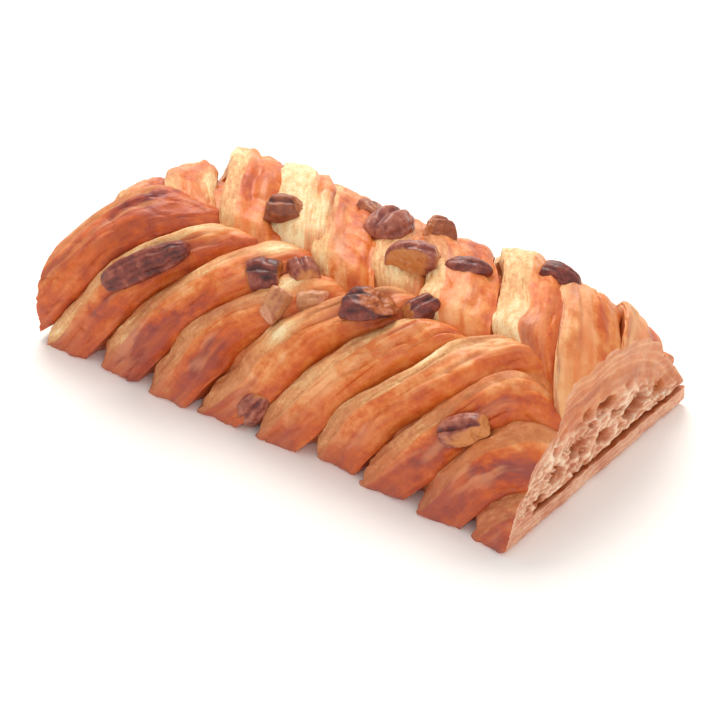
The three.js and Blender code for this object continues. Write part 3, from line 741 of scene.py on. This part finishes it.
def pecan(name, s, turn, roll, long, wide, high, breaks=(), seed=1, tone=0.5, **form):
    """A kernel turned about the dome's normal at s, rolled about its own long axis and put where
    its CAD node is. tone is how pale it roasted."""
    grid, marks = kernel_grid(long, wide, high, breaks, seed, **form)
    marks["cream"] = tone
    piece = closed_mesh(name + "_kernel", grid, marks, (grid[..., 0], grid[..., 1]))
    y, z = np.interp(s, DOME_S, DOME_Y), np.interp(s, DOME_S, DOME_Z)
    out_y, out_z = dome_normal(y, z)
    basis = Matrix(((1, 0, 0), (0, out_z, out_y), (0, -out_y, out_z)))
    spin = Matrix.Rotation(np.radians(turn), 3, "Z") @ Matrix.Rotation(np.radians(roll), 3, "X")
    piece.data.transform((basis @ spin).to_4x4())
    low, high_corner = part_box(name)
    points = np.empty(len(piece.data.vertices) * 3, np.float32)
    piece.data.vertices.foreach_get("co", points)
    points = points.reshape(-1, 3)
    shift = np.array((low + high_corner) / 2) - (points.min(0) + points.max(0)) / 2
    piece.data.transform(Matrix.Translation(shift))
    piece.data.shade_smooth()
    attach(piece, "root")
    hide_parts(name)
    return piece


def roasted_kernel(name, skin_stops, flesh_stops):
    """Roasted pecan: thin tannic skin, darker in its creases, over pale oily flesh where it broke;
    the glaze leaves it glossy."""
    made, tree = new_material(name)
    where = add(tree, "TexCoord", output="Object")
    where = add(tree, "Mapping", {"Vector": where, "Scale": PER_METRE})
    mark = {name: add(tree, "Attribute", output="Fac", attribute_name=name) for name in MARKS}
    patch = add(tree, "TexNoise", {"Vector": where, "Scale": 1 / 2.4, "Detail": 4, "Roughness": 0.62})
    speck = add(tree, "TexNoise", {"Vector": where, "Scale": 1 / 0.5, "Detail": 3, "Roughness": 0.6})
    shade = total(tree, -0.3, (patch, 1), (speck, 0.25), (mark["bake"], -0.3), (mark["cream"], 0.6))
    skin = add(tree, "ValToRGB", (shade,), stops=skin_stops)
    pale = total(tree, -0.3, (patch, 0.8), (speck, 0.4), (mark["cream"], 0.6))
    flesh = add(tree, "ValToRGB", (pale,), stops=flesh_stops)
    wrinkled = total(tree, 0.0, (speck, 1), (patch, 1))
    surface = add(tree, "BsdfPrincipled", {
        "Base Color": add(tree, "Mix", (mark["crumb"], skin, flesh), data_type="RGBA"),
        "Roughness": 0.4,
        "IOR": 1.47,
        "Normal": add(tree, "Bump", {"Height": wrinkled, "Strength": 0.4, "Distance": 0.3 * MM}),
        "Subsurface Weight": 0.08,
        "Subsurface Radius": (1.0, 0.4, 0.2),
        "Subsurface Scale": 1.2 * MM,
        "Specular IOR Level": 0.4,
        "Coat Weight": 0.16,
        "Coat Roughness": 0.25,
    })
    add(tree, "OutputMaterial", (surface,))
    return made


dark_kernel = roasted_kernel(
    "roasted_pecan_skin",
    [(0.2, "#2e1110"), (0.42, "#562320"), (0.62, "#80382c"), (0.9, "#b06a54")],
    [(0.3, "#7a3616"), (0.5, "#a85423"), (0.75, "#c88046")])
light_kernel = roasted_kernel(
    "broken_pecan_flesh",
    [(0.2, "#55241a"), (0.42, "#80402a"), (0.62, "#a05a38"), (0.9, "#c28458")],
    [(0.25, "#84401f"), (0.5, "#ad6438"), (0.75, "#c98660"), (0.95, "#dba284")])

PECANS = [
    dict(name="pecan_half", s=28.5, turn=42, roll=-16, long=22.5, wide=6.8, high=7.2, tone=0.5,
         groove=0.1, ribs=0.1, point=0.5, lumps=0.12),
    dict(name="pecan_piece_01", s=56, turn=26, roll=14, long=13, wide=7, high=6.2, tone=0.3,
         breaks=[((1, 0.3, 0.5), 3.6), ((-1, 0.3, 0.1), 4)], lumps=0.16, ribs=0.05),
    dict(name="pecan_piece_02", s=38, turn=18, roll=8, long=13, wide=8, high=7.4, tone=0.5,
         breaks=[((1, 0.2, 0.1), 3.8), ((-1, -0.4, 0.3), 4.6)], lumps=0.3, ribs=0.04, groove=0.16),
    dict(name="pecan_piece_03", s=42.6, turn=-34, roll=-10, long=12, wide=6.4, high=6, tone=0.75,
         breaks=[((-1, 0.3, 0.4), 3), ((1, 0, 0.6), 3.8)], lumps=0.18, ribs=0.03),
    dict(name="pecan_piece_04", s=33, turn=84, roll=6, long=13, wide=5.8, high=5.4, tone=0.9,
         breaks=[((1, 0, 0.2), 3.2), ((-1, 0.2, 0.5), 4)], lumps=0.14, ribs=0.03, groove=0.1),
    dict(name="pecan_piece_05", s=36.6, turn=30, roll=20, long=11, wide=5.6, high=4.8, tone=1.0,
         breaks=[((-1, 0, 0.3), 2.8), ((1, -0.4, 0.2), 3.2)], lumps=0.14, ribs=0.03, groove=0.1),
    dict(name="pecan_piece_06", s=39.4, turn=26, roll=-34, long=15, wide=9.6, high=7.4, tone=0.35,
         breaks=[((1, 0.3, 0.3), 5.4), ((-1, 0.1, 0.3), 6), ((0.5, -0.2, 0.8), 3.0)], lumps=0.2,
         groove=0.3, ribs=0.06),
    dict(name="pecan_piece_07", s=46, turn=70, roll=10, long=13, wide=7.2, high=6.4, tone=0.6,
         breaks=[((1, 0.2, 0.1), 3.8), ((-1, 0, 0.3), 3.6)], lumps=0.16, ribs=0.05),
    dict(name="pecan_piece_08", s=67, turn=96, roll=0, long=14, wide=10.4, high=7.4, tone=0.85,
         breaks=[((1, 0.1, 0.5), 5.4)], groove=0.3, ribs=0.08, lumps=0.15),
    dict(name="pecan_piece_09", s=57.6, turn=28, roll=18, long=14, wide=8.6, high=8.8, tone=0.8,
         breaks=[((-0.16, -0.84, 0.43), 2.9), ((1, 0, 0.1), 5)], groove=0.12, ribs=0.05, lumps=0.12),
    dict(name="pecan_piece_10", s=62.5, turn=28, roll=16, long=11, wide=5.8, high=4.6, tone=0.5,
         groove=0.1, ribs=0.03, point=1.0),
    dict(name="pecan_piece_11", s=74.5, turn=50, roll=0, long=10, wide=6.4, high=6.4, tone=0.5,
         breaks=[((1, 0.2, 0.3), 3), ((-1, 0, 0.2), 3.2)], lumps=0.18, ribs=0.04),
    dict(name="pecan_piece_12", s=72, turn=-20, roll=-8, long=10, wide=5.2, high=4.8, tone=0.5,
         breaks=[((1, 0, 0.4), 3.2), ((-1, 0.3, 0.1), 3.2)], lumps=0.16, ribs=0.04),
    dict(name="pecan_piece_13", s=73.4, turn=14, roll=10, long=11, wide=6.6, high=5.4, tone=0.4,
         breaks=[((-1, 0, 0.3), 4)], ribs=0.05, groove=0.16),
    dict(name="pecan_piece_14", s=6.6, turn=58, roll=10, long=13, wide=7.2, high=5.4, tone=0.7,
         breaks=[((-1, 0.2, 0.2), 4.6), ((1, 0.4, 0.2), 5)], lumps=0.14),
    dict(name="pecan_piece_15", s=23.6, turn=30, roll=-12, long=14, wide=7.6, high=6, tone=0.8,
         breaks=[((1, 0.2, 0.2), 5.2), ((0.2, -1, 0.7), 2.6)], groove=0.3, lumps=0.16, ribs=0.08),
    dict(name="pecan_piece_16", s=99, turn=-48, roll=8, long=13, wide=7, high=5.8,
         breaks=[((1, 0.2, 0.3), 4)], lumps=0.1),
    dict(name="pecan_piece_17", s=103, turn=-60, roll=0, long=11, wide=6.4, high=5.4, tone=0.8,
         breaks=[((-1, 0.1, 0.4), 3.4), ((1, 0, 0.2), 4)], lumps=0.14),
    dict(name="pecan_piece_18", s=97, turn=-30, roll=-10, long=12, wide=7.4, high=6, tone=0.6,
         breaks=[((1, 0.5, 0.2), 3.6)], lumps=0.1),
]
LIGHT_PIECES = {"pecan_piece_01", "pecan_piece_04", "pecan_piece_05", "pecan_piece_11",
                "pecan_piece_12", "pecan_piece_17"}

for number, shape in enumerate(PECANS):
    kernel = pecan(seed=900 + 20 * number, **shape)
    light = shape["name"] in LIGHT_PIECES
    kernel.data.materials.clear()
    kernel.data.materials.append(light_kernel if light else dark_kernel)

# ---------------------------------------------------------------------------------------------
# The table: one plain pale floor.

FLOOR_HALF = 3.0


def pale_floor():
    """A square of matt white board at z = 0."""
    mesh = bpy.data.meshes.new("floor")
    corners = [(-FLOOR_HALF, -FLOOR_HALF, 0), (FLOOR_HALF, -FLOOR_HALF, 0),
               (FLOOR_HALF, FLOOR_HALF, 0), (-FLOOR_HALF, FLOOR_HALF, 0)]
    mesh.from_pydata(corners, [], [(0, 1, 2, 3)])
    made, tree = new_material("matt_white_board")
    surface = add(tree, "BsdfPrincipled", {"Base Color": linear("#fbfaf8"), "Roughness": 0.9})
    add(tree, "OutputMaterial", (surface,))
    mesh.materials.append(made)
    floor = bpy.data.objects.new("floor", mesh)
    bpy.context.scene.collection.objects.link(floor)
    return floor


pale_floor()

# ---------------------------------------------------------------------------------------------
# Light: a large soft window from behind and to the left, a weaker fill from the camera's side, and
# a pale room all round.


def soft_light(name, place, watts, size, colour):
    """A square area light at a place, aimed at the middle of the loaf."""
    data = bpy.data.lights.new(name, "AREA")
    data.energy = watts
    data.size = size
    data.color = linear(colour)[:3]
    lamp = bpy.data.objects.new(name, data)
    lamp.location = place
    aim = Vector((0, 0, 0.02)) - Vector(place)
    lamp.rotation_euler = aim.to_track_quat("-Z", "Y").to_euler()
    bpy.context.scene.collection.objects.link(lamp)


soft_light("window", place=(-0.5, 0.5, 0.8), watts=9.2, size=0.6, colour="#fffaf2")
soft_light("fill", place=(0.6, -0.6, 0.5), watts=2.0, size=0.7, colour="#fff2f0")
world = bpy.data.worlds.new("room")
world.use_nodes = True
world.node_tree.nodes["Background"].inputs["Color"].default_value = linear("#fdfbf8")
world.node_tree.nodes["Background"].inputs["Strength"].default_value = 0.78
bpy.context.scene.world = world
bpy.context.scene.view_settings.view_transform = "Standard"

# ---------------------------------------------------------------------------------------------
# The camera looks down on the near side and the right end through a long lens.

CAMERA_AZIMUTH = np.radians(37)
CAMERA_ELEVATION = np.radians(35)
CAMERA_DISTANCE = 0.9
SENSOR_WIDTH = 36
LENS = 199.15
camera_data = bpy.data.cameras.new("camera")
camera_data.sensor_width = SENSOR_WIDTH
camera_data.lens = LENS
camera = bpy.data.objects.new("camera", camera_data)
back = Vector((np.sin(CAMERA_AZIMUTH) * np.cos(CAMERA_ELEVATION),
               -np.cos(CAMERA_AZIMUTH) * np.cos(CAMERA_ELEVATION),
               np.sin(CAMERA_ELEVATION)))
camera.location = back * CAMERA_DISTANCE + Vector((0, 0, 0.015))
look_at = Vector((0.0039, -0.0040, 0.0071))
camera.rotation_mode = "QUATERNION"
camera.rotation_quaternion = (look_at - camera.location).to_track_quat("-Z", "Y")
bpy.context.scene.collection.objects.link(camera)
bpy.context.scene.camera = camera
